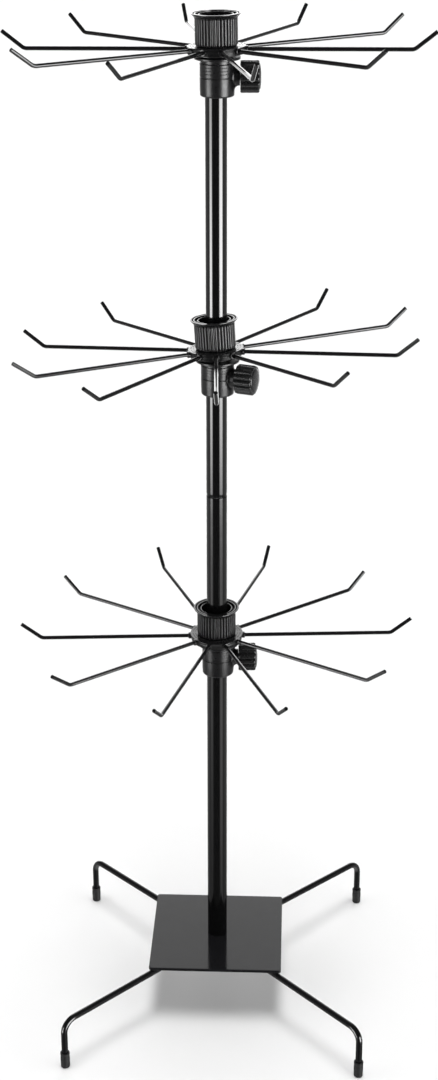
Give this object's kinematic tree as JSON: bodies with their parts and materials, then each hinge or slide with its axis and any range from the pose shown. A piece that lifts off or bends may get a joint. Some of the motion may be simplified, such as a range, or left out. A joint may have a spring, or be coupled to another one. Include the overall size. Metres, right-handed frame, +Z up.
{
  "type": "rotating display rack",
  "caption": "Tall floor or counter spinner rack: tiers of upturned wire hooks turn on collars clamped to a tube on a square steel base with bent rod legs.",
  "frame": {"origin": "on the floor, on the axis of the tube, midway between the four feet", "axes": "+Z up along the tube, -Y towards the front, with the base plate square to X and Y"},
  "size_m": [0.4818, 0.4817, 1.265],
  "materials": {
    "base_paint": "gloss black powder coat",
    "leg_paint": "gloss black powder coat",
    "tube_paint": "gloss black powder coat",
    "wire_paint": "gloss black powder coat",
    "collar_plastic": "satin moulded black",
    "knob_plastic": "satin moulded black",
    "hub_plastic": "satin moulded black",
    "ring_plastic": "gloss moulded black",
    "plug_plastic": "moulded black",
    "foot_rubber": "matte black",
    "bright_steel": "zinc plated"
  },
  "bodies": {
    "base_and_tube": {"base_plate": "base_paint", "base_bolt": "bright_steel", "leg_back_right": "leg_paint", "leg_back_left": "leg_paint", "leg_front_left": "leg_paint", "leg_front_right": "leg_paint", "foot_cap_back_right": "foot_rubber", "foot_cap_back_left": "foot_rubber", "foot_cap_front_left": "foot_rubber", "foot_cap_front_right": "foot_rubber", "lower_tube": "tube_paint", "upper_tube": "tube_paint", "tube_joiner": "bright_steel", "tube_plug": "plug_plastic", "tube_cap": "plug_plastic"},
    "bottom_collar": {"clamp_collar_bottom": "collar_plastic"},
    "bottom_knob": {"clamp_knob_bottom": "knob_plastic"},
    "bottom_hub": {"hub_sleeve_bottom": "hub_plastic", "hook_ring_bottom": "ring_plastic", "hub_nut_bottom": "hub_plastic", "hook_bottom_01": "wire_paint", "hook_bottom_02": "wire_paint", "hook_bottom_03": "wire_paint", "hook_bottom_04": "wire_paint", "hook_bottom_05": "wire_paint", "hook_bottom_06": "wire_paint", "hook_bottom_07": "wire_paint", "hook_bottom_08": "wire_paint", "hook_bottom_09": "wire_paint", "hook_bottom_10": "wire_paint"},
    "middle_collar": {"clamp_collar_middle": "collar_plastic"},
    "middle_knob": {"clamp_knob_middle": "knob_plastic"},
    "middle_hub": {"hub_sleeve_middle": "hub_plastic", "hook_ring_middle": "ring_plastic", "hub_nut_middle": "hub_plastic", "hook_middle_01": "wire_paint", "hook_middle_02": "wire_paint", "hook_middle_03": "wire_paint", "hook_middle_04": "wire_paint", "hook_middle_05": "wire_paint", "hook_middle_06": "wire_paint", "hook_middle_07": "wire_paint", "hook_middle_08": "wire_paint", "hook_middle_09": "wire_paint", "hook_middle_10": "wire_paint"},
    "top_collar": {"clamp_collar_top": "collar_plastic"},
    "top_knob": {"clamp_knob_top": "knob_plastic"},
    "top_hub": {"hub_sleeve_top": "hub_plastic", "hook_ring_top": "ring_plastic", "hub_nut_top": "hub_plastic", "hook_top_01": "wire_paint", "hook_top_02": "wire_paint", "hook_top_03": "wire_paint", "hook_top_04": "wire_paint", "hook_top_05": "wire_paint", "hook_top_06": "wire_paint", "hook_top_07": "wire_paint", "hook_top_08": "wire_paint", "hook_top_09": "wire_paint", "hook_top_10": "wire_paint"}
  },
  "joints": [
    {"name": "bottom_height", "type": "slide", "parent": "base_and_tube", "child": "bottom_collar", "axis": [0, 0, 1], "range_m": [-0.34, 0.13]},
    {"name": "bottom_spin", "type": "hinge", "parent": "bottom_collar", "child": "bottom_hub", "pos_m": [-0.0004, 0, 0.5159], "axis": [-0.0067, -0.0056, 1], "continuous": true},
    {"name": "bottom_knob_turn", "type": "hinge", "parent": "bottom_collar", "child": "bottom_knob", "pos_m": [0.0013, 0.00005, 0.48634], "axis": [0.9991, 0.0419, 0], "range_deg": [0, 360]},
    {"name": "middle_height", "type": "slide", "parent": "base_and_tube", "child": "middle_collar", "axis": [0, 0, 1], "range_m": [-0.13, 0.14]},
    {"name": "middle_spin", "type": "hinge", "parent": "middle_collar", "child": "middle_hub", "pos_m": [-0.0007, 0, 0.8822], "axis": [-0.06, 0.042, 0.9973], "continuous": true},
    {"name": "middle_knob_turn", "type": "hinge", "parent": "middle_collar", "child": "middle_knob", "pos_m": [0.00123, -0.00042, 0.85142], "axis": [0.9455, -0.3256, 0], "range_deg": [0, 360]},
    {"name": "top_height", "type": "slide", "parent": "base_and_tube", "child": "top_collar", "axis": [0, 0, 1], "range_m": [-0.1, 0]},
    {"name": "top_spin", "type": "hinge", "parent": "top_collar", "child": "top_hub", "pos_m": [0.0006, 0, 1.2259], "axis": [-0.0178, 0.0111, 0.9998], "continuous": true},
    {"name": "top_knob_turn", "type": "hinge", "parent": "top_collar", "child": "top_knob", "pos_m": [0.0013, 0.00003, 1.19611], "axis": [0.9997, 0.0262, 0], "range_deg": [0, 360]}
  ]
}
